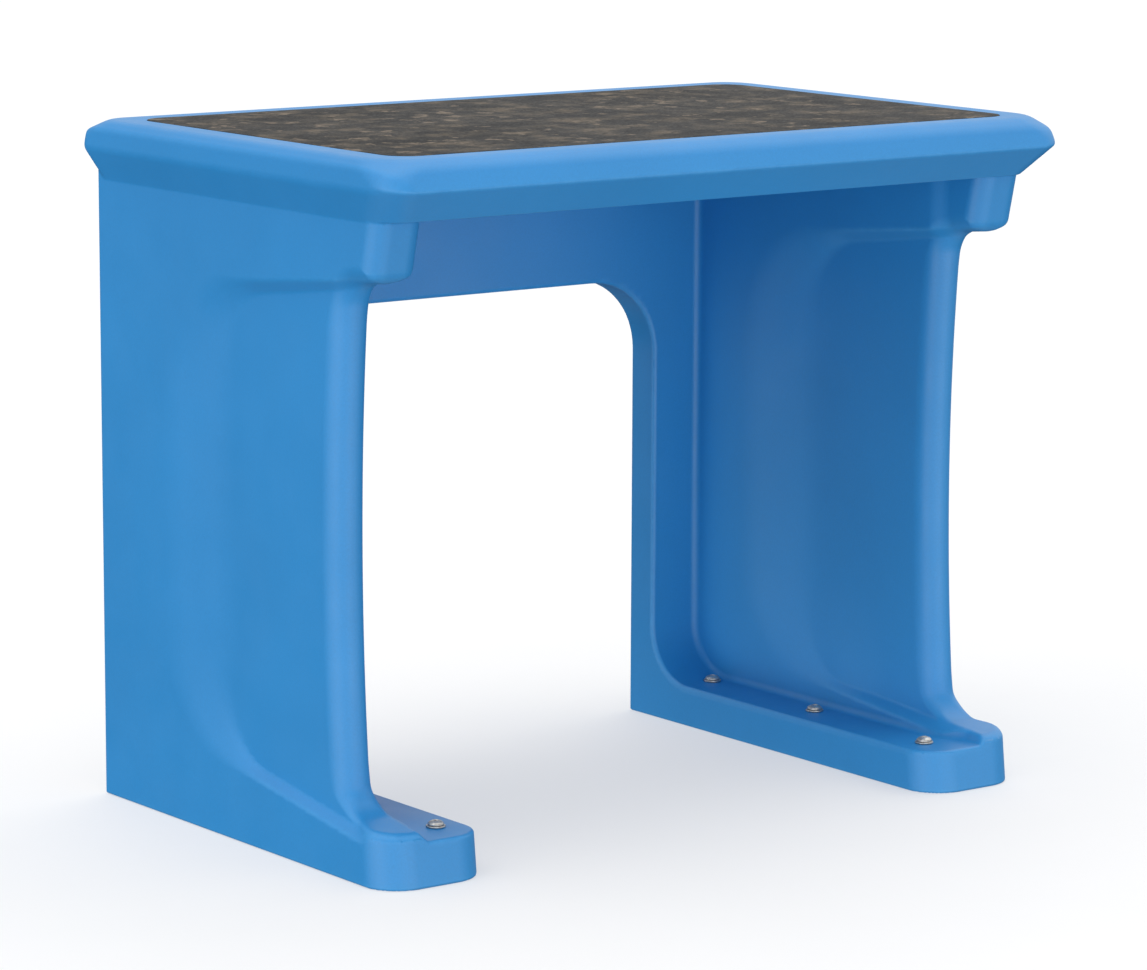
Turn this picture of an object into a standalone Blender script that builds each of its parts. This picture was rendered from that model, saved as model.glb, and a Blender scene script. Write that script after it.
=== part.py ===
"""One-piece moulded desk with a laminate inlay, fixed to the floor through its feet.

The shell is a hollow plastic skin: a bevelled slab, two panel legs with a shallow
scoop on each face, a back frame with an arched opening, and a foot flange along the
inside of each leg. A board with a laminate face is let into the slab. Each foot is
held down by three screws, each with a washer and a steel sleeve inside the hollow foot.

Metres, +Z up, X across the desk, -Y towards the user. The origin is on the floor,
midway between the outermost points of the slab.
"""
import math

import bmesh
import bpy

# ---------------------------------------------------------------- driving dimensions
WIDTH = 0.914
DEPTH = 0.610
HEIGHT = 0.762
WALL = 0.006
GAP = 0.0003

# Slab, given by four level outlines: drop below the top, then how far the outline
# lies inside the slab's full width, front and back.
RIM = (0.0, 0.012, 0.024, 0.023)
SHOULDER = (0.009, 0.001, 0.012, 0.006)
BELLY = (0.032, 0.0, 0.0, 0.0)
SLAB_FOOT = (0.066, 0.018, 0.036, 0.011)
SLAB_FRONT_RADIUS = 0.030
SLAB_BACK_RADIUS = 0.018

# Inlay.
INLAY_HALF_WIDTH = 0.4145
INLAY_FRONT = -0.2565
INLAY_BACK = 0.2485
INLAY_RADIUS = 0.030
BOARD_THICK = 0.012
LAMINATE_THICK = 0.0012
LAMINATE_PROUD = 0.0003

# Legs.
LEG_OUTER = 0.4386
LEG_INNER = 0.370
LEG_BACK = 0.2935
LEG_TOP = 0.710
LEG_FRONT = -0.159
LEG_BOW = 0.010
BOW_CENTRE = 0.350
BOW_REACH = 0.240
BOW_START = 0.130
BOW_END = 0.560
OUTER_SCOOP = 0.010
INNER_SCOOP = 0.014
SCOOP_START = 0.140
SCOOP_FULL = 0.045
SCOOP_BOTTOM = (0.056, 0.082)
SCOOP_TOP = (0.580, 0.625)
LEG_EDGE_RADIUS = 0.018

# Bracket that carries the slab's front edge, and the toe at the floor.
BRACKET_FRONT = -0.2535
BRACKET_BOTTOM = 0.631
BRACKET_DRAFT = math.radians(12)
BRACKET_INNER = 0.376
BRACKET_FADE = (0.600, 0.630)
BRACKET_HOLLOW = (-0.200, 0.601)
BRACKET_HOLLOW_RADIUS = 0.026
NOSE_ROUND = 0.010
TOE_FRONT = -0.268
TOE_TOP = 0.0585
TOE_FADE = 0.080
TOE_DRAFT = math.radians(6.5)
TOE_RADIUS = 0.042
TOE_INNER_RADIUS = 0.006
TOE_INNER = 0.385
DISH_BACK = (-0.200, 0.0920)
DISH_RADIUS = 0.028

# Back frame and foot flange.
FRAME_FRONT = 0.248
FRAME_BACK = 0.293
OPENING_HALF_WIDTH = 0.3042
OPENING_TOP = 0.5345
OPENING_RADIUS = 0.090
FLANGE_TOP = 0.048
FLANGE_BACK = 0.280
SWEEP_RADIUS = 0.066

# How deep the joined solids reach into each other, and the small steps that keep
# their faces from lying in one plane.
JOIN = 0.004
STEP = 0.0002

# Floor fixings: rear, middle and front of each foot.
SCREW_Y = (0.188, -0.012, -0.214)
SCREW_X_REAR = 0.350
SCREW_X_FRONT = 0.339
SCREW_RADIUS = 0.005
HOLE_RADIUS = 0.006
HEAD_RADIUS = 0.00875
HEAD_HEIGHT = 0.0055
HEAD_RIM = 0.0012
SOCKET_RADIUS = 0.0034
SOCKET_DEPTH = 0.003
WASHER_RADIUS = 0.0105
WASHER_THICK = 0.002
WASHER_PLAY = 0.0005
SPOT_FACE_PLAY = 0.001
SPOT_FACE_HEIGHT = 0.012
SLEEVE_RADIUS = 0.011
SLEEVE_PLAY = 0.001
TIP_CHAMFER = 0.001
STANDOFF = 0.0006


# ---------------------------------------------------------------- materials
def material(name, colour, roughness, metallic=0.0):
    mat = bpy.data.materials.new(name)
    mat.use_nodes = True
    shader = mat.node_tree.nodes["Principled BSDF"]
    shader.inputs["Base Color"].default_value = (*colour, 1.0)
    shader.inputs["Roughness"].default_value = roughness
    shader.inputs["Metallic"].default_value = metallic
    mat.diffuse_color = (*colour, 1.0)
    return mat


# ---------------------------------------------------------------- mesh helpers
def new_object(name, bm, mat=None):
    """Turn a closed bmesh into an object with its faces pointing outward."""
    bmesh.ops.recalc_face_normals(bm, faces=bm.faces)
    mesh = bpy.data.meshes.new(name)
    bm.to_mesh(mesh)
    bm.free()
    obj = bpy.data.objects.new(name, mesh)
    bpy.context.scene.collection.objects.link(obj)
    if mat:
        mesh.materials.append(mat)
    return obj


def loft(name, rings, mat=None, loop=False):
    """Join rings of equal length into a solid, capped at both ends or closed on itself."""
    bm = bmesh.new()
    verts = [[bm.verts.new(point) for point in ring] for ring in rings]
    count = len(rings[0])
    pairs = list(zip(verts, verts[1:]))
    if loop:
        pairs.append((verts[-1], verts[0]))
    for lower, upper in pairs:
        for i in range(count):
            j = (i + 1) % count
            bm.faces.new((lower[i], lower[j], upper[j], upper[i]))
    if not loop:
        bm.faces.new(verts[0])
        bm.faces.new(verts[-1])
    return new_object(name, bm, mat)


def arc(centre, radius, start, end, steps):
    """Points on an arc in a plane, angles in degrees, both ends included."""
    points = []
    for i in range(steps + 1):
        angle = math.radians(start + (end - start) * i / steps)
        points.append((centre[0] + radius * math.cos(angle), centre[1] + radius * math.sin(angle)))
    return points


def rounded_rectangle(x0, x1, y0, y1, radii, steps=5):
    """Anticlockwise outline from the front-left corner, with one radius for each corner."""
    a, b, c, d = radii
    outline = arc((x0 + a, y0 + a), a, 180, 270, steps)
    outline += arc((x1 - b, y0 + b), b, 270, 360, steps)
    outline += arc((x1 - c, y1 - c), c, 0, 90, steps)
    outline += arc((x0 + d, y1 - d), d, 90, 180, steps)
    return outline


def at_height(outline, z):
    return [(x, y, z) for x, y in outline]


def smooth_step(low, high, value):
    t = min(max((value - low) / (high - low), 0.0), 1.0)
    return t * t * (3 - 2 * t)


def hide_tool(obj):
    obj.hide_render = True
    obj.display_type = "WIRE"


def combine(target, tools, operation):
    """Add one exact Boolean for each tool and keep the tools as hidden guides."""
    for tool in tools:
        hide_tool(tool)
        modifier = target.modifiers.new(f"{operation.lower()} {tool.name}", "BOOLEAN")
        modifier.operation = operation
        modifier.solver = "EXACT"
        modifier.object = tool
    return target


def turned(name, profile, centre, mat, segments=24, loop=False):
    """Solid of revolution about a vertical axis; the profile holds radius and height."""
    rings = []
    for radius, z in profile:
        turn = arc(centre, radius, 0, 360 * (segments - 1) / segments, segments - 1)
        rings.append(at_height(turn, z))
    obj = loft(name, rings, mat, loop)
    obj.data.shade_smooth()
    obj.data.set_sharp_from_angle(angle=math.radians(35))
    return obj


# ---------------------------------------------------------------- slab
def slab_ring(row, inset=0.0, drop=None):
    below, side, front, back = row
    half = WIDTH / 2 - side - inset
    radii = (SLAB_FRONT_RADIUS, SLAB_FRONT_RADIUS, SLAB_BACK_RADIUS, SLAB_BACK_RADIUS)
    outline = rounded_rectangle(-half, half, -DEPTH / 2 + front + inset, DEPTH / 2 - back - inset,
                                radii)
    return at_height(outline, HEIGHT - (below if drop is None else drop))


def slab_solid():
    return loft("slab_solid", [slab_ring(row) for row in (SLAB_FOOT, BELLY, SHOULDER, RIM)])


def slab_cavity():
    floor = SLAB_FOOT[0] - WALL
    ceiling = pocket_depth() + WALL
    rings = [slab_ring(SLAB_FOOT, 1.5 * WALL, floor)]
    rings.append(slab_ring(BELLY, WALL))
    rings.append(slab_ring(SHOULDER, WALL, ceiling))
    return loft("slab_cavity", rings)


# ---------------------------------------------------------------- inlay
def pocket_depth():
    return BOARD_THICK + LAMINATE_THICK + 2 * GAP - LAMINATE_PROUD


def inlay_solid(name, low, high, clearance, mat=None):
    outline = rounded_rectangle(-INLAY_HALF_WIDTH + clearance, INLAY_HALF_WIDTH - clearance,
                                INLAY_FRONT + clearance, INLAY_BACK - clearance,
                                (INLAY_RADIUS,) * 4)
    return loft(name, [at_height(outline, low), at_height(outline, high)], mat)


def inlay(board_mat, laminate_mat):
    top = HEIGHT + LAMINATE_PROUD
    seam = top - LAMINATE_THICK
    inlay_solid("laminate_top", seam, top, GAP, laminate_mat)
    inlay_solid("backing_board", seam - GAP - BOARD_THICK, seam - GAP, GAP, board_mat)


# ---------------------------------------------------------------- legs
def front_profile(inset):
    """Side view of the leg's front edge from floor to slab, as (y, z), moved inward."""
    toe_lean = math.degrees(TOE_DRAFT)
    lean = math.degrees(BRACKET_DRAFT)
    toe_round = (TOE_FRONT + NOSE_ROUND + math.tan(TOE_DRAFT) * (TOE_TOP - NOSE_ROUND),
                 TOE_TOP - NOSE_ROUND)
    slope = math.tan(BRACKET_DRAFT) * (LEG_TOP - BRACKET_BOTTOM)
    nose_round = (BRACKET_FRONT + slope + NOSE_ROUND, BRACKET_BOTTOM + NOSE_ROUND)

    points = [(TOE_FRONT, 0.0)]
    points += arc(toe_round, NOSE_ROUND, 180 - toe_lean, 95, 3)
    points += arc(DISH_BACK, DISH_RADIUS, 276, 350, 5)
    for i in range(6):
        z = BOW_START + (BOW_END - BOW_START) * i / 5
        points.append((LEG_FRONT - LEG_BOW * ((z - BOW_CENTRE) / BOW_REACH) ** 2, z))
    points += arc(BRACKET_HOLLOW, BRACKET_HOLLOW_RADIUS, 10, 85, 4)
    points += arc(nose_round, NOSE_ROUND, 265, 180 + lean, 4)
    points.append((BRACKET_FRONT, LEG_TOP))
    return offset_profile(points, inset)


def offset_profile(points, distance):
    """Move an upward-running profile towards +Y, square to itself."""
    moved = []
    last = len(points) - 1
    for i, (y, z) in enumerate(points):
        before = points[max(i - 1, 0)]
        after = points[min(i + 1, last)]
        run_y, run_z = after[0] - before[0], after[1] - before[1]
        length = math.hypot(run_y, run_z)
        moved.append((y + distance * run_z / length, z - distance * run_y / length))
    return moved


def leg_ring(y_front, z, inset):
    """Level section of the right leg: outer face, front edge and inner face."""
    scoop = smooth_step(*SCOOP_BOTTOM, z) * (1 - smooth_step(*SCOOP_TOP, z))
    toe = 1 - smooth_step(TOE_TOP, TOE_FADE, z)
    back = LEG_BACK - inset
    outer = LEG_OUTER - inset
    inner = LEG_INNER + inset
    outer_front = outer - OUTER_SCOOP * scoop
    inner_middle = inner + INNER_SCOOP * scoop
    bracket = smooth_step(*BRACKET_FADE, z)
    inner_front = inner_middle + (TOE_INNER - LEG_INNER) * toe
    inner_front += (BRACKET_INNER - LEG_INNER) * bracket

    thick = outer_front - inner_front
    large = LEG_EDGE_RADIUS + (TOE_RADIUS - LEG_EDGE_RADIUS) * toe - inset / 2
    small = LEG_EDGE_RADIUS - (LEG_EDGE_RADIUS - TOE_INNER_RADIUS) * toe - inset / 4
    large = min(large, 0.60 * thick)
    small = min(small, 0.39 * thick)
    front = arc((outer_front - large, y_front + large), large, 0, -90, 4)
    front += arc((inner_front + small, y_front + small), small, -90, -180, 3)
    ring = [(outer, back), (outer, SCOOP_START), (outer_front, SCOOP_FULL), *front]
    ring += [(inner_middle, SCOOP_FULL), (inner, SCOOP_START), (inner, back)]
    return at_height(ring, z)


def leg_solid(side, inset=0.0):
    name = ("left" if side < 0 else "right") + ("_leg_cavity" if inset else "_leg_solid")
    profile = [point for point in front_profile(inset) if point[1] >= inset]
    if inset:
        profile[0] = (profile[0][0], inset)
        profile[-1] = (profile[-1][0], LEG_TOP + WALL)
    rings = [leg_ring(y, z, inset) for y, z in profile]
    return loft(name, [[(side * x, y, z) for x, y, z in ring] for ring in rings])


# ---------------------------------------------------------------- back frame
def frame_outline(inset):
    """Arch seen from the front as (x, z): legs to the floor and a round-cornered opening."""
    outer = LEG_OUTER - 8 * STEP - inset
    half = OPENING_HALF_WIDTH + inset
    top = OPENING_TOP + inset
    radius = OPENING_RADIUS + inset
    high = LEG_TOP - JOIN
    points = [(-outer, inset), (-outer, high), (outer, high), (outer, inset), (half, inset)]
    points += arc((half - radius, top - radius), radius, 0, 90, 8)
    points += arc((radius - half, top - radius), radius, 90, 180, 8)
    points.append((-half, inset))
    return points


def frame_solid(inset=0.0):
    name = "frame_cavity" if inset else "frame_solid"
    outline = frame_outline(inset)
    rings = [[(x, y, z) for x, z in outline] for y in (FRAME_FRONT + inset, FRAME_BACK - inset)]
    return loft(name, rings)


# ---------------------------------------------------------------- foot flange
def flange_solid(side, inset=0.0):
    """Low foot along the inside of a leg, with a leaning front."""
    name = ("left" if side < 0 else "right") + ("_flange_cavity" if inset else "_flange_solid")
    inner = OPENING_HALF_WIDTH + STEP + inset
    outer = (LEG_INNER + LEG_OUTER) / 2
    radii = (TOE_RADIUS, TOE_INNER_RADIUS, STEP, STEP)
    rings = []
    for z in (inset, FLANGE_TOP - inset):
        front = TOE_FRONT + 2 * STEP + math.tan(TOE_DRAFT) * z + inset
        outline = rounded_rectangle(inner, outer, front, FLANGE_BACK, radii)
        rings.append([(side * x, y, z) for x, y in outline])
    return loft(name, rings)


def sweep_solid(side):
    """Concave sweep where the back frame runs down into the foot flange."""
    low = FLANGE_TOP - JOIN
    deep = FRAME_FRONT + JOIN
    centre = (FRAME_FRONT - SWEEP_RADIUS, FLANGE_TOP + SWEEP_RADIUS)
    profile = arc(centre, SWEEP_RADIUS, -90, 0, 6)
    profile += [(deep, centre[1]), (deep, low), (centre[0], low)]
    name = ("left" if side < 0 else "right") + "_sweep_solid"
    ends = (OPENING_HALF_WIDTH + 2 * STEP, LEG_INNER + JOIN)
    return loft(name, [[(side * x, y, z) for y, z in profile] for x in ends])


# ---------------------------------------------------------------- floor fixings
def screw_places():
    """Name and centre of every floor screw."""
    places = []
    for side, side_name in ((-1, "left"), (1, "right")):
        for i, end_name in enumerate(("rear", "middle", "front")):
            x = SCREW_X_REAR + (SCREW_X_FRONT - SCREW_X_REAR) * i / 2
            places.append((f"{side_name}_{end_name}", (side * x, SCREW_Y[i])))
    return places


def screw_hole(place):
    name, centre = place
    profile = [(HOLE_RADIUS, -JOIN), (HOLE_RADIUS, FLANGE_TOP + JOIN)]
    return turned(f"{name}_hole", profile, centre, None, segments=16)


def spot_face(place):
    """Level seat for a rear washer, let into the foot of the sweep."""
    name, centre = place
    low = FLANGE_TOP + STEP / 2
    radius = WASHER_RADIUS + SPOT_FACE_PLAY
    return turned(f"{name}_spot_face", [(radius, low), (radius, low + SPOT_FACE_HEIGHT)],
                  centre, None, segments=24)


def floor_screw(name, centre, mat):
    """Domed head with a six-sided socket, on a plain shank that stops short of the floor."""
    seat = FLANGE_TOP + WASHER_THICK + 2 * GAP
    crown = seat + HEAD_HEIGHT
    profile = [(SCREW_RADIUS - TIP_CHAMFER, STANDOFF), (SCREW_RADIUS, STANDOFF + TIP_CHAMFER)]
    profile += [(SCREW_RADIUS, seat), (HEAD_RADIUS, seat)]
    for degrees in (0, 25, 50, 70):
        angle = math.radians(degrees)
        rise = HEAD_RIM + (HEAD_HEIGHT - HEAD_RIM) * math.sin(angle)
        profile.append((HEAD_RADIUS * math.cos(angle), seat + rise))
    screw = turned(f"{name}_floor_screw", profile, centre, mat)
    deep = [(SOCKET_RADIUS, crown - SOCKET_DEPTH), (SOCKET_RADIUS, crown + JOIN)]
    socket = turned(f"{name}_socket", deep, centre, None, segments=6)
    return combine(screw, [socket], "DIFFERENCE")


def washer(name, centre, mat):
    low = FLANGE_TOP + GAP
    high = low + WASHER_THICK
    hole = SCREW_RADIUS + WASHER_PLAY
    profile = [(hole, low), (WASHER_RADIUS, low), (WASHER_RADIUS, high), (hole, high)]
    turned(f"{name}_washer", profile, centre, mat, loop=True)


def sleeve(name, centre, mat):
    low = WALL + GAP
    high = FLANGE_TOP - WALL - GAP
    hole = SCREW_RADIUS + SLEEVE_PLAY
    profile = [(hole, low), (SLEEVE_RADIUS, low), (SLEEVE_RADIUS, high), (hole, high)]
    turned(f"{name}_sleeve", profile, centre, mat, loop=True)


# ---------------------------------------------------------------- assembly
def desk_shell(mat):
    shell = slab_solid()
    shell.name = "desk_shell"
    shell.data.materials.append(mat)
    solids = [leg_solid(-1), leg_solid(1), frame_solid(), flange_solid(-1), flange_solid(1)]
    solids += [sweep_solid(-1), sweep_solid(1)]
    combine(shell, solids, "UNION")

    cavity = slab_cavity()
    parts = [leg_solid(-1, WALL), leg_solid(1, WALL), frame_solid(WALL)]
    parts += [flange_solid(-1, WALL), flange_solid(1, WALL)]
    combine(cavity, parts, "UNION")

    pocket = inlay_solid("inlay_pocket", HEIGHT - pocket_depth(), HEIGHT + JOIN, 0.0)
    holes = [screw_hole(place) for place in screw_places()]
    seats = [spot_face(place) for place in screw_places() if "rear" in place[0]]
    return combine(shell, [cavity, pocket, *holes, *seats], "DIFFERENCE")


def build():
    for obj in list(bpy.data.objects):
        bpy.data.objects.remove(obj, do_unlink=True)
    blue = material("blue_polyethylene", (0.045, 0.27, 0.60), 0.42)
    laminate = material("granite_laminate", (0.085, 0.08, 0.07), 0.35)
    board = material("backing_board", (0.45, 0.32, 0.19), 0.7)
    steel = material("stainless_steel", (0.62, 0.61, 0.58), 0.28, 1.0)
    zinc = material("zinc_plated_steel", (0.55, 0.56, 0.57), 0.4, 1.0)
    desk_shell(blue)
    inlay(board, laminate)
    for name, centre in screw_places():
        floor_screw(name, centre, steel)
        washer(name, centre, steel)
        sleeve(name, centre, zinc)


build()
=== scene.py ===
"""Looks of the moulded desk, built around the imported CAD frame.

The shell is drawn as one continuous moulded skin. Its shape is written as a signed
field: slab, panel legs, arched back frame and foot flanges are joined with fillets,
and their outer edges are rounded. The field is turned into a mesh, every vertex is
moved onto the exact surface, and its normals come from the field. The inlay pocket
and the screw holes are then cut out with exact Booleans.

Metres, +Z up, -Y towards the user, in the frame of the CAD.
"""
import math

import bpy
import numpy as np
from mathutils import Matrix, Vector


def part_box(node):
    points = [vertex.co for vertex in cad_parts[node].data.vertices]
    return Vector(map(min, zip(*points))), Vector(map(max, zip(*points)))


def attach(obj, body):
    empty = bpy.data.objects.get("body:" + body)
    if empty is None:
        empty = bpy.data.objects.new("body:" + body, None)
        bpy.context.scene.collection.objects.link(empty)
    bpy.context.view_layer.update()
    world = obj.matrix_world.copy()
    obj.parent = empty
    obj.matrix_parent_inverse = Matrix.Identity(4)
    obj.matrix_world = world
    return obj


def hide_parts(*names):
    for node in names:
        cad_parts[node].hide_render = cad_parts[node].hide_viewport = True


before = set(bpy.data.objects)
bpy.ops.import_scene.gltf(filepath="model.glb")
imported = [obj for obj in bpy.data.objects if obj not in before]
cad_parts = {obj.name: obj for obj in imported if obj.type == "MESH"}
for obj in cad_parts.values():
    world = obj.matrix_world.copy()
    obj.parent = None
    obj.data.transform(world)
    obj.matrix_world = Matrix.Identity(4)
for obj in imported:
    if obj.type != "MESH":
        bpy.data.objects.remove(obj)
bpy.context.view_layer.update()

# ---------------------------------------------------------------- sizes from the frame
SHELL_LOW, SHELL_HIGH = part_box("desk_shell")
LAMINATE_LOW, LAMINATE_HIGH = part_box("laminate_top")
BOARD_LOW, BOARD_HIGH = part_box("backing_board")

HALF_WIDTH = SHELL_HIGH.x
FRONT = SHELL_LOW.y
BACK = SHELL_HIGH.y
TOP = SHELL_HIGH.z
GAP = 0.0003

# Slab outlines, from the top down: drop, then inset at the side, front and back.
SLAB_ROWS = ((0.0, 0.012, 0.024, 0.023), (0.009, 0.001, 0.012, 0.006),
             (0.032, 0.0, 0.0, 0.0), (0.066, 0.018, 0.036, 0.011))
SLAB_FRONT_RADIUS = 0.030
SLAB_BACK_RADIUS = 0.020
SLAB_BEND = 0.0028
SLAB_TOP_BEND = 0.004
INLAY_RADIUS = 0.030

# Legs.
LEG_OUTER = 0.4386
LEG_INNER = 0.370
OUTER_SCOOP = 0.010
INNER_SCOOP = 0.014
LEG_FRONT = -0.1625
LEG_STRETCH = 0.22
LEG_BOW = 0.010
BOW_CENTRE = 0.350
BOW_REACH = 0.240
LEG_EDGE = 0.0215
LEG_BACK = 0.2935
LEG_TOP = 0.715

# Heights over which the front rounding widens above the foot and narrows at the bracket.
STRETCH_LOW = (0.07, 0.12)
STRETCH_HIGH = (0.58, 0.62)

# Scoops: where the ramp starts and ends behind, and the lines (height at y = 0, slope)
# where it starts and ends above the floor and under the slab.
SCOOP_START = 0.143
SCOOP_FULL = 0.049
SCOOP_OUTER_ROUND = 0.110
SCOOP_INNER_ROUND = 0.075
SCOOP_OUTER_TOP = (0.612, -0.10)
SCOOP_INNER_TOP = (0.597, -0.13)
OUTER_FOOT = (0.079, 0.15)
OUTER_FOOT_IN = (0.0885, 0.15)
INNER_FOOT = (0.0725, 0.10)
INNER_FOOT_IN = (0.081, 0.09)

# The inner scoop loses this share of its depth low down at the back.
SHALLOW_SHARE = 0.5
SHALLOW_HEIGHT = (0.07, 0.20)
SHALLOW_SPAN = (-0.10, 0.0)

# Toe, dish and bracket.
TOE_FRONT = -0.268
TOE_SLOPE = math.tan(math.radians(6.5))
TOE_TOP = 0.0585
TOE_CORNER = 0.042
TOE_NOSE = 0.010
TOE_STEP = 0.002
TOE_EDGE = 0.007
TOE_SPAN = (0.195, 0.240)
TOE_HEIGHT = (0.060, 0.095)
TOE_EDGE_HEIGHT = (0.060, 0.090)
FOOT_HEIGHT = 0.085
DISH_RADIUS = 0.028
DISH_START = 0.2533
DISH_REACH = 0.08
DISH_SLOPE = 0.1
BRACKET_FRONT = -0.243
BRACKET_DRAFT = math.tan(math.radians(13))
BRACKET_FRONT_HEIGHT = 0.648
BRACKET_BOTTOM = 0.631
BRACKET_BOTTOM_PLACE = 0.24
BRACKET_BOTTOM_SLOPE = 0.1
BRACKET_NOSE = 0.012
BRACKET_HOLLOW = 0.026
BRACKET_INNER = 0.376
BRACKET_SPAN = (0.17, 0.20)
BRACKET_FADE = (0.60, 0.63)

# Back frame and foot flange.
STRIP = 0.248
OPENING_HALF = 0.3042
OPENING_TOP = 0.5345
OPENING_RADIUS = 0.090
FLANGE_TOP = 0.048
FLANGE_NOSE = 0.004
FRAME_HALF = 0.40
SWEEP = 0.066
EDGE = 0.0045
WALL_FILLET = 0.008
SLAB_FILLET = 0.0015
FLOOR_EDGE = 0.0025

# Cut-outs: screw holes, and level seats of the rear washers.
HOLE_RADIUS = 0.006
CUT_REACH = 0.004
SPOT_PLAY = 0.001
SPOT_LOW = 0.0001
SPOT_HIGH = 0.012
INLAY_CHAMFER = 0.0006

# Mesh: grid spacing, most triangles, furthest move and smallest slope in settle().
FINE = 0.003
SHELL_TRIANGLES = 186000
LONGEST_MOVE = 0.0015
LEAST_SLOPE = 0.05

# Curvature (1/m) at which scuffing starts, and the rise to full scuffing.
SCUFF_START = 45.0
SCUFF_RISE = 160.0

# Screw head, socket and washer.
SHANK_RADIUS = 0.005
SHANK_TIP_RADIUS = 0.004
SHANK_CHAMFER = 0.001
HEAD_RIM = 0.0009
HEAD_ROLL = 0.0005
HEAD_SEAT_INSET = 0.0007
DOME_END = 76
SOCKET_RADIUS = 0.0034
SOCKET_MOUTH_RADIUS = 0.0041
SOCKET_DEPTH = 0.003
WASHER_BORE = 0.0055
WASHER_EDGE = 0.0005
WASHER_STEPS = 72
LAMINATE_BEVEL = 0.0004

# Lamps: azimuth from the front towards the left, elevation, reach and strength.
LAMPS = ((300, -10, 38, 0.10), (330, -10, 38, 0.83), (0, -10, 38, 1.45),
         (30, -10, 38, 0.67), (60, -10, 38, 0.68), (90, -10, 38, 1.46),
         (120, -10, 38, 0.07), (180, -10, 38, 0.06), (60, 38, 62, 0.69),
         (120, 38, 62, 0.70), (180, 38, 62, 0.05), (240, 38, 62, 1.04),
         (300, 38, 62, 0.50), (0, 90, 55, 0.91), (0, -90, 65, 0.49))
STAGE_RADIUS = 25.0
BACKDROP = (0.93, 0.93, 0.935)
BACKDROP_RINGS = (-2, 10, 20, 30, 40, 50, 60, 70, 80)
FLOOR_DROP = 0.0002

# Camera: lens (mm), place, and yaw, pitch and roll in degrees.
LENS = 146.196
CAMERA_PLACE = (-3.0753, -4.1221, 1.2324)
CAMERA_TURN = (36.7201, 9.7427, 0.2441)


# ---------------------------------------------------------------- field algebra
def step(low, high, value):
    """Smooth rise from 0 to 1."""
    t = np.clip((value - low) / (high - low), 0.0, 1.0)
    return t * t * (3 - 2 * t)


def ramp(low, high, value, bend=0.22):
    """Straight ramp from 0 to 1 with short rounded ends; bend is each end's share."""
    t = np.clip((value - low) / (high - low), -bend, 1 + bend)
    start = np.clip(t + bend, 0.0, 2 * bend) ** 2 / (4 * bend)
    end = np.clip(t - 1 + bend, 0.0, 2 * bend) ** 2 / (4 * bend)
    return start + np.maximum(t - bend, 0.0) - end


def soft_max(a, b, reach):
    """Larger of two fields, blended where they are close."""
    h = np.maximum(reach - np.abs(a - b), 0.0) / reach
    return np.maximum(a, b) + h * h * reach / 4


def round_and(radius, *fields):
    """Common part of solids, with a rounded outer edge."""
    top = fields[0]
    total = np.maximum(fields[0] + radius, 0.0) ** 2
    for field in fields[1:]:
        top = np.maximum(top, field)
        total = total + np.maximum(field + radius, 0.0) ** 2
    return np.minimum(top, -radius) + np.sqrt(total)


def round_or(radius, a, b):
    """Two solids joined with a fillet."""
    corner = np.sqrt(np.maximum(radius - a, 0.0) ** 2 + np.maximum(radius - b, 0.0) ** 2)
    return np.maximum(np.minimum(a, b), radius) - corner


# ---------------------------------------------------------------- shape of the shell
def slab_side(outward, drop, column):
    """Bevelled edge of the slab along one side, from its three slopes."""
    result = None
    for upper, lower in zip(SLAB_ROWS, SLAB_ROWS[1:]):
        run = upper[column] - lower[column]
        fall = lower[0] - upper[0]
        length = math.hypot(run, fall)
        plane = ((outward + upper[column]) * fall - (drop - upper[0]) * run) / length
        result = plane if result is None else soft_max(result, plane, SLAB_BEND)
    return result


def slab_field(x, y, z):
    drop = TOP - z
    side = slab_side(x - HALF_WIDTH, drop, 1)
    front = slab_side(FRONT - y, drop, 2)
    back = slab_side(y - BACK, drop, 3)
    plan = round_and(SLAB_BACK_RADIUS, round_and(SLAB_FRONT_RADIUS, side, front), back)
    under = (TOP - SLAB_ROWS[-1][0]) - z
    return soft_max(soft_max(plan, z - TOP, SLAB_TOP_BEND), under, SLAB_BEND / 2)


def toe_plan(x, y, z):
    """Outline of the foot seen from above, with its two rounded front corners."""
    front = TOE_FRONT + TOE_SLOPE * z - y
    return round_and(TOE_CORNER, front, x - LEG_OUTER, OPENING_HALF - x)


def nose_drop(plan, radius):
    """How far a foot's top rolls down near its outline."""
    reach = np.clip(plan + radius, 0.0, 0.95 * radius)
    return radius - np.sqrt(radius * radius - reach * reach)


def scoop(y, z, outer_foot, inner_foot):
    """Share of a scoop's depth: 0 at its outer line, 1 at its inner line."""
    outer_low = outer_foot[0] + outer_foot[1] * y
    inner_low = inner_foot[0] + inner_foot[1] * y
    outer = round_and(SCOOP_OUTER_ROUND, y - SCOOP_START, outer_low - z,
                      z - SCOOP_OUTER_TOP[0] - SCOOP_OUTER_TOP[1] * y)
    inner = round_and(SCOOP_INNER_ROUND, y - SCOOP_FULL, inner_low - z,
                      z - SCOOP_INNER_TOP[0] - SCOOP_INNER_TOP[1] * y)
    return ramp(0.0, 1.0, -outer / np.maximum(inner - outer, 0.0001))


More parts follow.
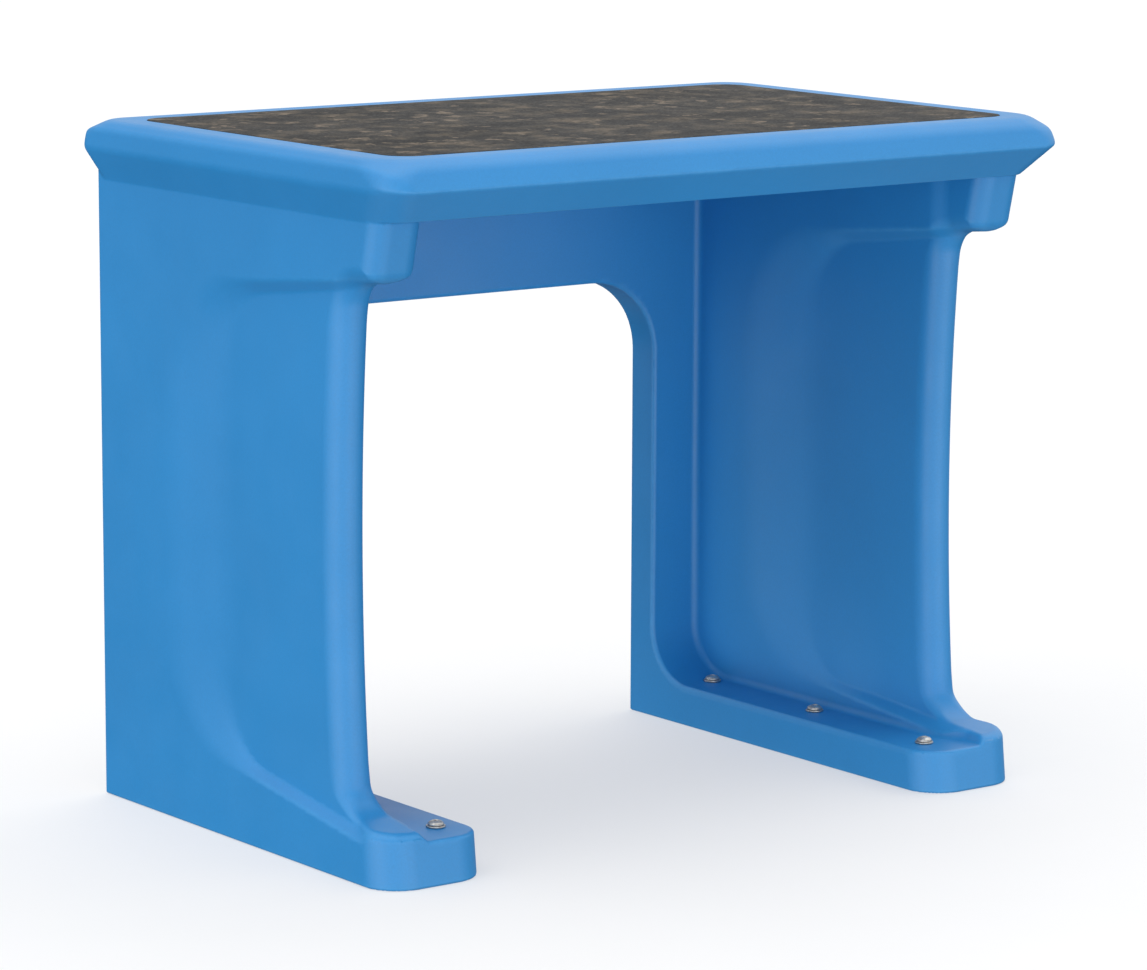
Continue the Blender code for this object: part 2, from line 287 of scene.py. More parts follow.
def leg_field(x, y, z, plan):
    """Panel leg with its scoops, bowed front, dished toe and bracket."""
    toe = step(*TOE_SPAN, -y) * (1 - step(*TOE_HEIGHT, z))
    outer_share = scoop(y, z, OUTER_FOOT, OUTER_FOOT_IN) * (1 - toe)
    outer = x - LEG_OUTER + OUTER_SCOOP * outer_share
    inner_share = np.maximum(scoop(y, z, INNER_FOOT, INNER_FOOT_IN), toe)
    shallow = 1 - SHALLOW_SHARE * (1 - step(*SHALLOW_HEIGHT, z)) * step(*SHALLOW_SPAN, y)
    bracket_step = ((BRACKET_INNER - LEG_INNER) * step(*BRACKET_SPAN, -y)
                    * step(*BRACKET_FADE, z))
    inner = (LEG_INNER + INNER_SCOOP * inner_share * shallow + TOE_STEP * toe
             + bracket_step - x)

    bow = LEG_FRONT - LEG_BOW * ((z - BOW_CENTRE) / BOW_REACH) ** 2 - y
    toe_top = (TOE_TOP + DISH_SLOPE * np.clip(y + DISH_START, 0.0, DISH_REACH)
               - nose_drop(plan, TOE_NOSE))
    front = round_or(DISH_RADIUS, bow, z - toe_top)
    nose = BRACKET_FRONT - BRACKET_DRAFT * (z - BRACKET_FRONT_HEIGHT) - y
    bottom = BRACKET_BOTTOM - BRACKET_BOTTOM_SLOPE * (y + BRACKET_BOTTOM_PLACE) - z
    bracket = round_and(BRACKET_NOSE, nose, bottom)
    front = round_or(BRACKET_HOLLOW, front, bracket)
    edge = TOE_EDGE + (LEG_EDGE - TOE_EDGE) * step(*TOE_EDGE_HEIGHT, z)
    stretch = 1 - LEG_STRETCH * step(*STRETCH_LOW, z) * (1 - step(*STRETCH_HIGH, z))
    return round_and(edge, outer, front * stretch, inner)


def back_field(x, y, z, plan):
    """Back frame and flanges: an L-shaped section with a sweep, less the arch."""
    top = FLANGE_TOP - nose_drop(plan, FLANGE_NOSE)
    section = round_or(SWEEP, STRIP - y, z - top)
    opening = round_and(OPENING_RADIUS, x - OPENING_HALF, z - OPENING_TOP)
    return np.maximum(round_and(EDGE, section, -opening), x - FRAME_HALF)


def shell_field(points):
    """Signed distance, roughly, to the outside of the moulding: negative inside."""
    x, y, z = np.abs(points[..., 0]), points[..., 1], points[..., 2]
    plan = toe_plan(x, y, z)
    lower = round_or(WALL_FILLET, leg_field(x, y, z, plan), back_field(x, y, z, plan))
    lower = np.maximum(lower, np.minimum(plan, FOOT_HEIGHT - z))
    lower = round_and(EDGE, lower, y - LEG_BACK)
    lower = np.maximum(lower, z - LEG_TOP)
    whole = round_or(SLAB_FILLET, lower, slab_field(x, y, z))
    return round_and(FLOOR_EDGE, whole, -z)


def gradient(points, width=0.0002):
    result = np.empty_like(points)
    for axis in range(3):
        shift = np.zeros(3)
        shift[axis] = width
        result[:, axis] = shell_field(points + shift) - shell_field(points - shift)
    return result / (2 * width)


def settle(points, rounds=4):
    """Move points onto the surface, in short moves."""
    for _ in range(rounds):
        slope = gradient(points)
        size = np.maximum((slope ** 2).sum(1), LEAST_SLOPE)
        move = slope * (shell_field(points) / size)[:, None]
        length = np.maximum(np.linalg.norm(move, axis=1), 1e-12)
        points = points - move * np.minimum(1.0, LONGEST_MOVE / length)[:, None]
    return points


# ---------------------------------------------------------------- field to mesh
def graded(start, *runs):
    """Grid lines from start, by (end, spacing) runs."""
    lines = [start]
    for end, spacing in runs:
        count = max(1, round((end - lines[-1]) / spacing))
        first = lines[-1]
        lines += [first + (end - first) * (i + 1) / count for i in range(count)]
    return np.array(lines)


def grid_lines(fine):
    """Grid that is fine at the slab, feet, legs and frame, and coarse between them."""
    half = graded(fine / 2, (0.200, 6 * fine), (0.290, 3 * fine), (0.4615, fine))
    xs = np.concatenate([-half[::-1], half])
    ys = graded(FRONT - 0.0075, (-0.130, fine), (0.030, 3.5 * fine), (0.160, 2.5 * fine),
                (0.240, 1.5 * fine), (BACK + 0.0075, fine))
    zs = graded(-0.0045, (0.130, fine), (0.430, 5 * fine), (0.560, 2.5 * fine),
                (TOP + 0.0045, fine))
    return xs, ys, zs


def field_values(xs, ys, zs):
    values = np.empty((len(xs), len(ys), len(zs)))
    plane = np.stack(np.meshgrid(ys, zs, indexing="ij"), axis=-1)
    for i, x in enumerate(xs):
        points = np.concatenate([np.full(plane.shape[:2] + (1,), x), plane], axis=-1)
        values[i] = shell_field(points)
    return values


def surface_net(xs, ys, zs):
    """One vertex in each cell that the surface crosses, one quad across each crossed edge."""
    values = field_values(xs, ys, zs)
    inside = values < 0
    count = np.zeros(tuple(n - 1 for n in values.shape), np.int8)
    corners = [(i, j, k) for i in (0, 1) for j in (0, 1) for k in (0, 1)]
    shape = count.shape

    def corner_view(array, c):
        return array[c[0]:c[0] + shape[0], c[1]:c[1] + shape[1], c[2]:c[2] + shape[2]]

    for corner in corners:
        count += corner_view(inside, corner)
    cells = np.argwhere((count > 0) & (count < 8))
    number = np.full(shape, -1, np.int64)
    number[tuple(cells.T)] = np.arange(len(cells))

    total = np.zeros((len(cells), 3))
    hits = np.zeros(len(cells))
    for a in corners:
        for axis in range(3):
            if a[axis]:
                continue
            b = tuple(a[n] + (n == axis) for n in range(3))
            at_a, at_b = cells + a, cells + b
            fa, fb = values[tuple(at_a.T)], values[tuple(at_b.T)]
            crossed = (fa < 0) != (fb < 0)
            t = np.where(crossed, fa / np.where(crossed, fa - fb, 1.0), 0.0)
            pa = np.stack([xs[at_a[:, 0]], ys[at_a[:, 1]], zs[at_a[:, 2]]], axis=1)
            pb = np.stack([xs[at_b[:, 0]], ys[at_b[:, 1]], zs[at_b[:, 2]]], axis=1)
            total += np.where(crossed[:, None], pa + (pb - pa) * t[:, None], 0.0)
            hits += crossed
    points = total / hits[:, None]

    quads = []
    for axis in range(3):
        u, v = (axis + 1) % 3, (axis + 2) % 3
        low = [slice(1, -1)] * 3
        low[axis] = slice(0, -1)
        high = list(low)
        high[axis] = slice(1, None)
        here, there = inside[tuple(low)], inside[tuple(high)]
        where = np.argwhere(here != there)
        outward = here[tuple(where.T)]
        offset = np.ones(3, int)
        offset[axis] = 0
        node = where + offset
        ring = []
        for du, dv in ((-1, -1), (0, -1), (0, 0), (-1, 0)):
            cell = node.copy()
            cell[:, u] += du
            cell[:, v] += dv
            ring.append(number[tuple(cell.T)])
        quad = np.stack(ring, axis=1)
        quad[~outward] = quad[~outward][:, ::-1]
        quads.append(quad)
    return points, np.concatenate(quads)


def add_object(name, mesh):
    obj = bpy.data.objects.new(name, mesh)
    bpy.context.scene.collection.objects.link(obj)
    return obj


def mesh_from(name, points, faces):
    mesh = bpy.data.meshes.new(name)
    mesh.from_pydata([tuple(p) for p in points], [], [tuple(f) for f in faces])
    mesh.update()
    return mesh


def vertex_array(mesh):
    flat = np.empty(len(mesh.vertices) * 3)
    mesh.vertices.foreach_get("co", flat)
    return flat.reshape(-1, 3)


def apply_modifiers(obj):
    graph = bpy.context.evaluated_depsgraph_get()
    mesh = bpy.data.meshes.new_from_object(obj.evaluated_get(graph))
    obj.modifiers.clear()
    obj.data = mesh


def rounded_outline(x0, x1, y0, y1, radius, steps):
    points = []
    for cx, cy, start in ((x1 - radius, y1 - radius, 0), (x0 + radius, y1 - radius, 90),
                          (x0 + radius, y0 + radius, 180), (x1 - radius, y0 + radius, 270)):
        for i in range(steps + 1):
            angle = math.radians(start + 90 * i / steps)
            points.append((cx + radius * math.cos(angle), cy + radius * math.sin(angle)))
    return points


def band_faces(count, rings, closed=False):
    """Quads from each ring of count points to the next, and to the first if closed."""
    faces = []
    for r in range(rings if closed else rings - 1):
        low, high = r * count, (r + 1) % rings * count
        for i in range(count):
            j = (i + 1) % count
            faces.append((low + i, low + j, high + j, high + i))
    return faces


def loft(name, rings):
    """Closed solid through rings of equal length, given from the bottom up."""
    count = len(rings[0])
    points = [p for ring in rings for p in ring]
    faces = [tuple(range(count))[::-1], tuple(range(len(points) - count, len(points)))]
    faces += band_faces(count, len(rings))
    return add_object(name, mesh_from(name, points, faces))


def circle(cx, cy, radius, z, steps):
    turns = [2 * math.pi * i / steps for i in range(steps)]
    return [(cx + radius * math.cos(t), cy + radius * math.sin(t), z) for t in turns]


def inlay_cutter():
    """Pocket for board and laminate, with a fine chamfer at the rim."""
    rings = []
    for z, grow in ((BOARD_LOW.z - GAP, 0.0), (TOP - INLAY_CHAMFER, 0.0),
                    (TOP, INLAY_CHAMFER), (TOP + CUT_REACH, INLAY_CHAMFER + CUT_REACH)):
        grow += GAP
        outline = rounded_outline(LAMINATE_LOW.x - grow, LAMINATE_HIGH.x + grow,
                                  LAMINATE_LOW.y - grow, LAMINATE_HIGH.y + grow,
                                  INLAY_RADIUS + grow, 12)
        rings.append([(x, y, z) for x, y in outline])
    return loft("inlay_cutter", rings)


def screw_centres():
    """Side, end and centre of each floor screw, from the CAD."""
    result = []
    for side in ("left", "right"):
        for end in ("rear", "middle", "front"):
            low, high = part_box(f"{side}_{end}_floor_screw")
            result.append((f"{side}_{end}", (low.x + high.x) / 2, (low.y + high.y) / 2))
    return result


def cut(obj, tools):
    """Take the tools out of the object, and remove them."""
    for tool in tools:
        modifier = obj.modifiers.new("cut", "BOOLEAN")
        modifier.operation = "DIFFERENCE"
        modifier.solver = "EXACT"
        modifier.object = tool
    apply_modifiers(obj)
    for tool in tools:
        bpy.data.objects.remove(tool)
    return obj


def field_normals(mesh):
    """Normals from the field on the moulded skin, and flat ones in the cut-outs."""
    points = vertex_array(mesh)
    slope = gradient(points)
    slope /= np.maximum(np.linalg.norm(slope, axis=1), 1e-9)[:, None]
    on_skin = np.abs(shell_field(points)) < 0.0002
    corner = np.empty(len(mesh.loops), np.int64)
    mesh.loops.foreach_get("vertex_index", corner)
    flat = np.empty(len(mesh.polygons) * 3)
    mesh.polygons.foreach_get("normal", flat)
    sides = np.empty(len(mesh.polygons), np.int64)
    mesh.polygons.foreach_get("loop_total", sides)
    face_normal = np.repeat(flat.reshape(-1, 3), sides, axis=0)
    agree = (slope[corner] * face_normal).sum(1) > 0.5
    use = (on_skin[corner] & agree)[:, None]
    normals = np.where(use, slope[corner], face_normal)
    mesh.shade_smooth()
    mesh.normals_split_custom_set(normals.tolist())


def build_shell():
    """The moulding: field to mesh, thinned, settled, cut and given its normals."""
    points, quads = surface_net(*grid_lines(FINE))
    mesh = mesh_from("moulded_shell", settle(points), quads)
    shell = add_object("moulded_shell", mesh)
    triangles = 2 * len(quads)
    if triangles > SHELL_TRIANGLES:
        thin = shell.modifiers.new("thin", "DECIMATE")
        thin.ratio = SHELL_TRIANGLES / triangles
        apply_modifiers(shell)
        moved = settle(vertex_array(shell.data), 2)
        shell.data.vertices.foreach_set("co", moved.ravel())
        shell.data.update()
    tools = [inlay_cutter()]
    for name, cx, cy in screw_centres():
        rings = [circle(cx, cy, HOLE_RADIUS, z, 32)
                 for z in (-CUT_REACH, FLANGE_TOP + CUT_REACH)]
        tools.append(loft(f"{name}_hole", rings))
        if name.endswith("_rear"):
            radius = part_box(f"{name}_washer")[1].x - cx + SPOT_PLAY
            rings = [circle(cx, cy, radius, FLANGE_TOP + z, 48)
                     for z in (SPOT_LOW, SPOT_HIGH)]
            tools.append(loft(f"{name}_spot", rings))
    cut(shell, tools)
    field_normals(shell.data)
    return shell


# ---------------------------------------------------------------- small parts
def lathe(name, profile, centre, steps=64):
    """Turned solid about a vertical axis through centre, with its origin on that axis."""
    rings = [circle(0.0, 0.0, radius, z, steps) for radius, z in profile]
    obj = loft(name, rings)
    obj.location = (centre[0], centre[1], 0.0)
    return obj


def arc_profile(centre, radius, start, end, steps):
    points = []
    for i in range(steps + 1):
        angle = math.radians(start + (end - start) * i / steps)
        points.append((centre[0] + radius[0] * math.cos(angle),
                       centre[1] + radius[1] * math.sin(angle)))
    return points


def smooth(obj, degrees=32):
    obj.data.shade_smooth()
    obj.data.set_sharp_from_angle(angle=math.radians(degrees))
    return obj


def floor_screw(name, centre):
    """Button-head screw: rolled rim, flattened dome and a hexagon socket."""
    low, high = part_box(f"{name}_floor_screw")
    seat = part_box(f"{name}_washer")[1].z + GAP
    radius = (high.x - low.x) / 2
    profile = [(SHANK_TIP_RADIUS, low.z), (SHANK_RADIUS, low.z + SHANK_CHAMFER),
               (SHANK_RADIUS, seat), (radius - HEAD_SEAT_INSET, seat)]
    profile += arc_profile((radius - HEAD_ROLL, seat + HEAD_ROLL), (HEAD_ROLL, HEAD_ROLL),
                           -60, 0, 3)
    profile += arc_profile((0.0, seat + HEAD_RIM), (radius, high.z - seat - HEAD_RIM),
                           0, DOME_END, 14)
    screw = lathe(f"{name}_screw", profile, centre)
    socket = lathe(f"{name}_socket", [
        (SOCKET_RADIUS, high.z - SOCKET_DEPTH), (SOCKET_RADIUS, high.z - 0.0006),
        (SOCKET_MOUTH_RADIUS, high.z + 0.0004), (SOCKET_MOUTH_RADIUS, high.z + 0.002)],
        centre, 6)
    bpy.context.view_layer.update()
    return smooth(cut(screw, [socket]))


def washer(name, centre):
    """Pressed washer: a flat ring with rolled edges."""
    low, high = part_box(f"{name}_washer")
    outer = (high.x - low.x) / 2
    edge = WASHER_EDGE
    profile = [(WASHER_BORE, low.z + edge), (WASHER_BORE + edge, low.z),
               (outer - edge, low.z), (outer, low.z + edge)]
    profile += arc_profile((outer - edge, high.z - 2 * edge), (edge, 2 * edge), 0, 90, 6)
    profile += [(WASHER_BORE + edge, high.z), (WASHER_BORE, high.z - edge)]
    rings = [circle(0.0, 0.0, radius, z, WASHER_STEPS) for radius, z in profile]
    points = [p for ring in rings for p in ring]
    faces = band_faces(WASHER_STEPS, len(rings), closed=True)
    obj = add_object(f"{name}_pressed_washer", mesh_from(f"{name}_washer", points, faces))
    obj.location = (centre[0], centre[1], 0.0)
    return smooth(obj, 50)


def laminate_sheet():
    """Laminate with a fine bevel along its top edge."""
    rings = []
    for z, inset in ((LAMINATE_LOW.z, 0.0), (LAMINATE_HIGH.z - LAMINATE_BEVEL, 0.0),
                     (LAMINATE_HIGH.z, LAMINATE_BEVEL)):
        outline = rounded_outline(LAMINATE_LOW.x + inset, LAMINATE_HIGH.x - inset,
                                  LAMINATE_LOW.y + inset, LAMINATE_HIGH.y - inset,
                                  INLAY_RADIUS - inset, 16)
        rings.append([(x, y, z) for x, y in outline])
    return loft("laminate_sheet", rings)


# ---------------------------------------------------------------- materials
class Graph:
    """Short way to lay out a node tree."""

    def __init__(self, name):
        self.material = bpy.data.materials.new(name)
        self.material.use_nodes = True
        self.tree = self.material.node_tree
        self.shader = self.tree.nodes["Principled BSDF"]

    def add(self, kind, **settings):
        node = self.tree.nodes.new(kind)
        for key, value in settings.items():
            setattr(node, key, value)
        return node

    def link(self, source, target):
        self.tree.links.new(source, target)

    def coordinates(self):
        return self.add("ShaderNodeTexCoord").outputs["Object"]

    def stretched(self, vector, scale):
        node = self.add("ShaderNodeMapping")
        node.inputs["Scale"].default_value = scale
        self.link(vector, node.inputs["Vector"])
        return node.outputs["Vector"]

    def noise(self, vector, scale, detail, roughness):
        node = self.add("ShaderNodeTexNoise")
        node.inputs["Scale"].default_value = scale
        node.inputs["Detail"].default_value = detail
        node.inputs["Roughness"].default_value = roughness
        self.link(vector, node.inputs["Vector"])
        return node.outputs["Fac"]

    def cells(self, vector, scale):
        node = self.add("ShaderNodeTexVoronoi")
        node.inputs["Scale"].default_value = scale
        self.link(vector, node.inputs["Vector"])
        return node

    def spread(self, value, low, high, new_low, new_high, smooth_ends=False):
        node = self.add("ShaderNodeMapRange")
        if smooth_ends:
            node.interpolation_type = "SMOOTHSTEP"
        for key, number in (("From Min", low), ("From Max", high), ("To Min", new_low),
                            ("To Max", new_high)):
            node.inputs[key].default_value = number
        self.link(value, node.inputs["Value"])
        return node.outputs["Result"]

    def math(self, operation, a, b):
        node = self.add("ShaderNodeMath", operation=operation)
        for socket, value in zip(node.inputs, (a, b)):
            if isinstance(value, (int, float)):
                socket.default_value = value
            else:
                self.link(value, socket)
        return node.outputs["Value"]

    def colours(self, value, stops):
        node = self.add("ShaderNodeValToRGB")
        elements = node.color_ramp.elements
        while len(elements) < len(stops):
            elements.new(0.5)
        for element, (place, colour) in zip(elements, stops):
            element.position = place
            element.color = (*colour, 1.0)
        self.link(value, node.inputs["Fac"])
        return node.outputs["Color"]

    def mix(self, factor, a, b, blend="MIX"):
        node = self.add("ShaderNodeMix", data_type="RGBA", blend_type=blend)
        sockets = {s.identifier: s for s in node.inputs}
        for key, value in (("Factor_Float", factor), ("A_Color", a), ("B_Color", b)):
            if isinstance(value, (int, float)):
                sockets[key].default_value = value
            elif isinstance(value, tuple):
                sockets[key].default_value = (*value, 1.0)
            else:
                self.link(value, sockets[key])
        return {s.identifier: s for s in node.outputs}["Result_Color"]

    def bump(self, height, strength, distance, under=None):
        node = self.add("ShaderNodeBump")
        node.inputs["Strength"].default_value = strength
        node.inputs["Distance"].default_value = distance
        self.link(height, node.inputs["Height"])
        if under is not None:
            self.link(under, node.inputs["Normal"])
        return node.outputs["Normal"]

    def finish(self, colour=None, roughness=None, normal=None, **values):
        for key, source in (("Base Color", colour), ("Roughness", roughness),
                            ("Normal", normal)):
            if source is not None:
                self.link(source, self.shader.inputs[key])
        for key, value in values.items():
            self.shader.inputs[key.replace("_", " ")].default_value = value
        return self.material


def polyethylene():
    """Satin rotational moulding: fine grain, slight flow clouds and softly scuffed edges."""
    g = Graph("blue_polyethylene")
    place = g.coordinates()
    clouds = g.noise(place, 5.0, 3.0, 0.55)
    grain = g.noise(place, 420.0, 2.0, 0.6)
    specks = g.noise(place, 1300.0, 1.0, 0.5)
    base = g.colours(clouds, ((0.30, (0.0180, 0.229, 0.555)),
                              (0.70, (0.0198, 0.247, 0.596))))
    tone = g.spread(grain, 0.25, 0.75, 0.955, 1.045)
    tone = g.math("MULTIPLY", tone, g.spread(specks, 0.3, 0.7, 0.975, 1.025))
    tinted = g.mix(1.0, base, tone, "MULTIPLY")
    edge = g.add("ShaderNodeAttribute", attribute_name="edge").outputs["Fac"]
    patches = g.spread(g.noise(place, 60.0, 4.0, 0.7), 0.35, 0.75, 0.05, 0.55)
    patchy = g.math("MULTIPLY", edge, patches)
    worn = g.mix(patchy, tinted, (0.045, 0.305, 0.660))
    rough = g.spread(g.noise(place, 18.0, 4.0, 0.6), 0.3, 0.7, 0.40, 0.50)
    rough = g.math("ADD", rough, g.math("MULTIPLY", patchy, 0.12))
    rough = g.math("ADD", rough, g.spread(grain, 0.3, 0.7, -0.03, 0.03))
    fine = g.bump(specks, 0.10, 0.0002)
    peel = g.bump(grain, 0.12, 0.0004, fine)
    wave = g.bump(g.noise(place, 22.0, 1.0, 0.4), 0.10, 0.0010, peel)
    return g.finish(worn, rough, wave, Specular_IOR_Level=0.60)


def granite_laminate():
    """Decorative laminate: dark ground, soft brown clouds, tan flecks and fine crystals."""
    g = Graph("granite_laminate")
    place = g.coordinates()
    warp = g.add("ShaderNodeTexNoise")
    warp.inputs["Scale"].default_value = 45.0
    g.link(place, warp.inputs["Vector"])
    shifted = g.add("ShaderNodeMix", data_type="VECTOR")
    parts = {s.identifier: s for s in shifted.inputs}
    parts["Factor_Float"].default_value = 0.012
    g.link(place, parts["A_Vector"])
    g.link(warp.outputs["Color"], parts["B_Vector"])
    bent = {s.identifier: s for s in shifted.outputs}["Result_Vector"]
    clouds = g.noise(bent, 21.0, 5.0, 0.62)
    ground = g.colours(clouds, ((0.36, (0.011, 0.011, 0.011)), (0.47, (0.024, 0.023, 0.022)),
                                (0.56, (0.054, 0.046, 0.036)), (0.68, (0.120, 0.095, 0.068))))
    flecks = g.spread(g.noise(bent, 36.0, 4.0, 0.65), 0.58, 0.66, 0.0, 0.85, True)
    with_flecks = g.mix(flecks, ground, (0.190, 0.150, 0.108))
    dark = g.spread(g.noise(bent, 60.0, 3.0, 0.6), 0.36, 0.44, 0.8, 0.0, True)
    with_dark = g.mix(dark, with_flecks, (0.010, 0.010, 0.011))
    cell = g.cells(place, 420.0)
    spark = g.spread(cell.outputs["Distance"], 0.10, 0.22, 0.55, 0.0, True)
    sparse = g.spread(g.noise(place, 210.0, 1.0, 0.5), 0.55, 0.62, 0.0, 1.0, True)
    colour = g.mix(g.math("MULTIPLY", spark, sparse), with_dark, (0.27, 0.24, 0.20))
    rough = g.spread(g.noise(place, 300.0, 3.0, 0.6), 0.3, 0.7, 0.38, 0.52)
    rub = g.spread(g.noise(place, 4.0, 4.0, 0.6), 0.45, 0.7, 0.0, 0.06)
    rough = g.math("ADD", rough, rub)
    crystal = g.bump(g.noise(place, 900.0, 2.0, 0.6), 0.12, 0.00015)
    return g.finish(colour, rough, crystal, Specular_IOR_Level=0.03)


def steel(name, tint, rough_low, rough_high):
    """Turned steel: fine rings about the screw's axis over soft tarnish."""
    g = Graph(name)
    place = g.coordinates()
    tarnish = g.noise(place, 320.0, 4.0, 0.6)
    dark = tuple(0.72 * c for c in tint)
    colour = g.colours(tarnish, ((0.32, dark), (0.62, tint)))
    rings = g.add("ShaderNodeTexWave", wave_type="RINGS", rings_direction="Z")
    rings.inputs["Scale"].default_value = 900.0
    rings.inputs["Distortion"].default_value = 1.5
    rings.inputs["Detail"].default_value = 2.0
    g.link(place, rings.inputs["Vector"])
    rough = g.spread(tarnish, 0.3, 0.7, rough_high, rough_low)
    rough = g.math("ADD", rough, g.spread(rings.outputs["Fac"], 0.0, 1.0, -0.03, 0.03))
    normal = g.bump(rings.outputs["Fac"], 0.15, 0.00005)
    normal = g.bump(g.noise(place, 2500.0, 2.0, 0.6), 0.10, 0.00005, normal)
    return g.finish(colour, rough, normal, Metallic=1.0)


def pressed_board():
    """Unfinished pressed board: flat chips with darker gaps, layered through the thickness."""
    g = Graph("backing_board")
    place = g.coordinates()
    chips = g.cells(g.stretched(place, (1.0, 1.0, 9.0)), 160.0)
    colour = g.colours(g.noise(g.stretched(place, (1.0, 0.35, 6.0)), 240.0, 4.0, 0.65),
                       ((0.30, (0.20, 0.125, 0.065)), (0.55, (0.42, 0.29, 0.165)),
                        (0.75, (0.58, 0.43, 0.27))))
    gaps = g.spread(chips.outputs["Distance"], 0.35, 0.75, 0.0, 0.5)
    shaded = g.mix(gaps, colour, (0.13, 0.08, 0.04))
    rough = g.spread(chips.outputs["Distance"], 0.0, 0.8, 0.62, 0.85)
    normal = g.bump(chips.outputs["Distance"], 0.4, 0.0004)
    return g.finish(shaded, rough, normal)


def floor_paint():
    """Plain pale studio floor."""
    g = Graph("studio_floor")
    place = g.coordinates()
    colour = g.colours(g.noise(place, 2.0, 3.0, 0.5),
                       ((0.3, (0.465, 0.465, 0.465)), (0.7, (0.480, 0.480, 0.480))))
    rough = g.spread(g.noise(place, 9.0, 3.0, 0.5), 0.3, 0.7, 0.75, 0.85)
    return g.finish(colour, rough, Specular_IOR_Level=0.1, Emission_Strength=0.5,
                    Emission_Color=(*BACKDROP, 1.0))


def mark_edges(mesh, width=0.0025):
    """Vertex attribute that grows with outward curvature, for scuffed edges."""
    points = vertex_array(mesh)
    total = -6 * shell_field(points)
    for axis in range(3):
        shift = np.zeros(3)
        shift[axis] = width
        total += shell_field(points + shift) + shell_field(points - shift)
    curvature = total / (width * width)
    value = np.clip((curvature - SCUFF_START) / SCUFF_RISE, 0.0, 1.0)
    layer = mesh.attributes.new("edge", "FLOAT", "POINT")
    layer.data.foreach_set("value", value.astype(np.float32))


# ---------------------------------------------------------------- assembly
def wear(obj, material):
    obj.data.materials.clear()
    obj.data.materials.append(material)


def add_piece(obj, material, node):
    wear(obj, material)
    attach(obj, "root")
    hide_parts(node)


def build_desk():
    stainless = steel("stainless_steel", (0.66, 0.64, 0.60), 0.42, 0.58)
    zinc = steel("zinc_plated_steel", (0.60, 0.62, 0.64), 0.36, 0.52)
    shell = build_shell()
    mark_edges(shell.data)
    add_piece(shell, polyethylene(), "desk_shell")
    add_piece(laminate_sheet(), granite_laminate(), "laminate_top")
    wear(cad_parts["backing_board"], pressed_board())
    for name, cx, cy in screw_centres():
        add_piece(floor_screw(name, (cx, cy)), stainless,
                  f"{name}_floor_screw")
        add_piece(washer(name, (cx, cy)), stainless, f"{name}_washer")
        wear(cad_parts[f"{name}_sleeve"], zinc)


# ---------------------------------------------------------------- studio
def stage_prop(obj, material):
    """Part of the set: seen by the camera, without any effect on the desk's own light."""
    wear(obj, material)
    obj.visible_diffuse = False
    obj.visible_glossy = False
    obj.visible_shadow = False


def add_floor():
    reach = 1.2 * STAGE_RADIUS
    floor = add_object("studio_floor", mesh_from("studio_floor", [
        (-reach, -reach, 0.0), (reach, -reach, 0.0), (reach, reach, 0.0),
        (-reach, reach, 0.0)], [(0, 1, 2, 3)]))
    floor.location.z = -FLOOR_DROP
    stage_prop(floor, floor_paint())


def add_backdrop():
    """Plain white dome that closes the view above the floor."""
    rings = []
    for degrees in BACKDROP_RINGS:
        angle = math.radians(degrees)
        rings.append(circle(0.0, 0.0, STAGE_RADIUS * math.cos(angle),
                            STAGE_RADIUS * math.sin(angle), 48))
    dome = loft("studio_backdrop", rings)
    material = Graph("studio_backdrop").finish(
        Base_Color=(0.0, 0.0, 0.0, 1.0), Specular_IOR_Level=0.0,
        Emission_Color=(*BACKDROP, 1.0), Emission_Strength=1.0)
    material.cycles.emission_sampling = "NONE"
    stage_prop(dome, material)


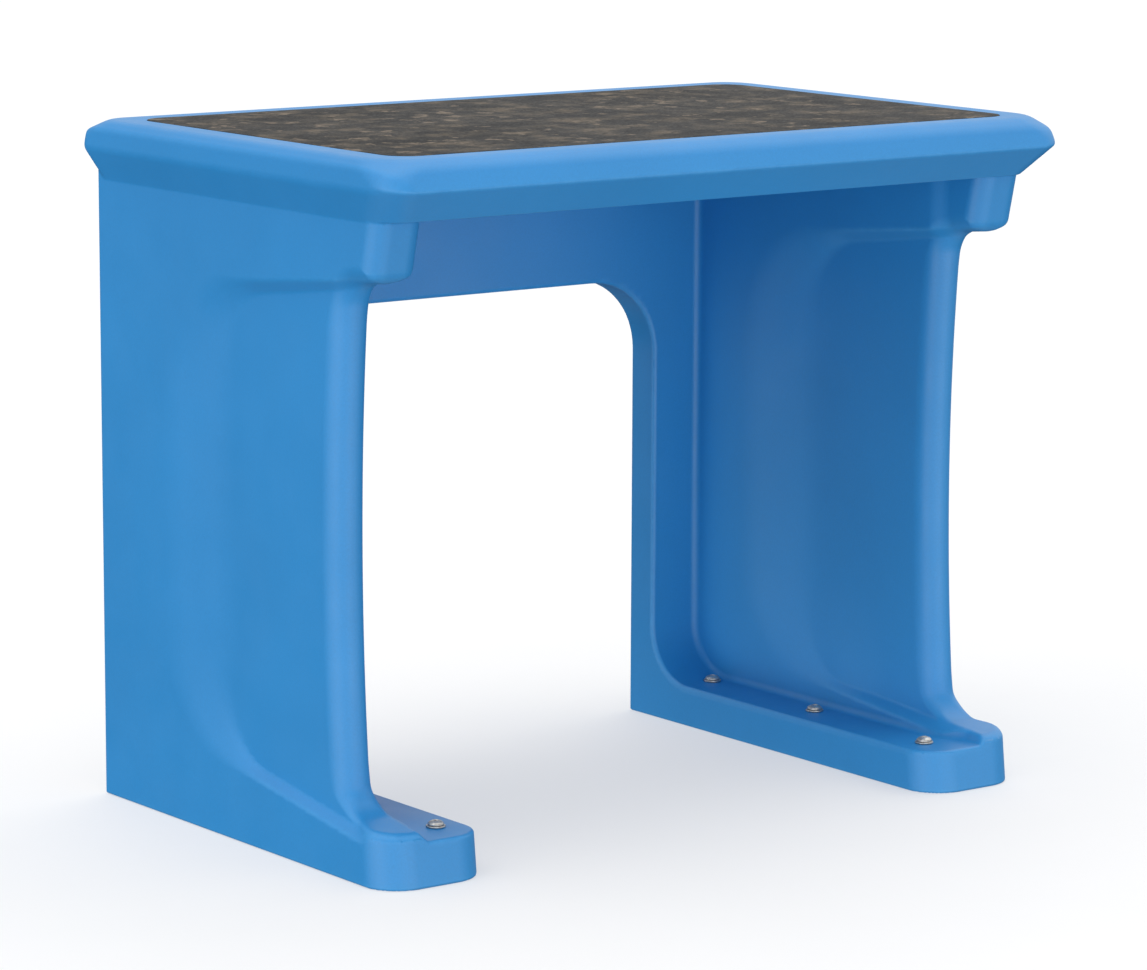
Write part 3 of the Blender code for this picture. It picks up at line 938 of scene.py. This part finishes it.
def add_lights():
    """Soft lamps far away all round, each a fading patch of the sky or of a lit floor."""
    world = bpy.data.worlds.new("studio")
    world.use_nodes = True
    nodes, links = world.node_tree.nodes, world.node_tree.links
    direction = nodes.new("ShaderNodeTexCoord").outputs["Generated"]
    total = None
    for azimuth, elevation, reach, strength in LAMPS:
        turn, rise = math.radians(azimuth), math.radians(elevation)
        towards = (-math.sin(turn) * math.cos(rise), -math.cos(turn) * math.cos(rise),
                   math.sin(rise))
        cosine = nodes.new("ShaderNodeVectorMath")
        cosine.operation = "DOT_PRODUCT"
        links.new(direction, cosine.inputs[0])
        cosine.inputs[1].default_value = towards
        patch = nodes.new("ShaderNodeMapRange")
        patch.interpolation_type = "SMOOTHSTEP"
        for key, number in (("From Min", math.cos(math.radians(reach))), ("From Max", 1.0),
                            ("To Min", 0.0), ("To Max", strength)):
            patch.inputs[key].default_value = number
        links.new(cosine.outputs["Value"], patch.inputs["Value"])
        if total is None:
            total = patch.outputs["Result"]
            continue
        add = nodes.new("ShaderNodeMath")
        links.new(total, add.inputs[0])
        links.new(patch.outputs["Result"], add.inputs[1])
        total = add.outputs["Value"]
    links.new(total, nodes["Background"].inputs["Strength"])
    nodes["Background"].inputs["Color"].default_value = (1.0, 1.0, 1.0, 1.0)
    bpy.context.scene.world = world


def add_camera():
    """Long lens, level with the top of the desk, from the front left."""
    data = bpy.data.cameras.new("camera")
    data.lens = LENS
    data.sensor_width = 36.0
    data.sensor_fit = "HORIZONTAL"
    data.clip_end = 100.0
    yaw, pitch, roll = (math.radians(a) for a in CAMERA_TURN)
    forward = Vector((math.sin(yaw) * math.cos(pitch), math.cos(yaw) * math.cos(pitch),
                      -math.sin(pitch)))
    level = Vector((math.cos(yaw), -math.sin(yaw), 0.0))
    above = level.cross(forward)
    right = level * math.cos(roll) + above * math.sin(roll)
    up = above * math.cos(roll) - level * math.sin(roll)
    camera = bpy.data.objects.new("camera", data)
    basis = Matrix((right, up, -forward)).transposed().to_4x4()
    camera.matrix_world = Matrix.Translation(CAMERA_PLACE) @ basis
    bpy.context.scene.collection.objects.link(camera)
    bpy.context.scene.camera = camera


# ---------------------------------------------------------------- everything
bpy.context.scene.view_settings.view_transform = "Standard"
build_desk()
add_floor()
add_backdrop()
add_lights()
add_camera()
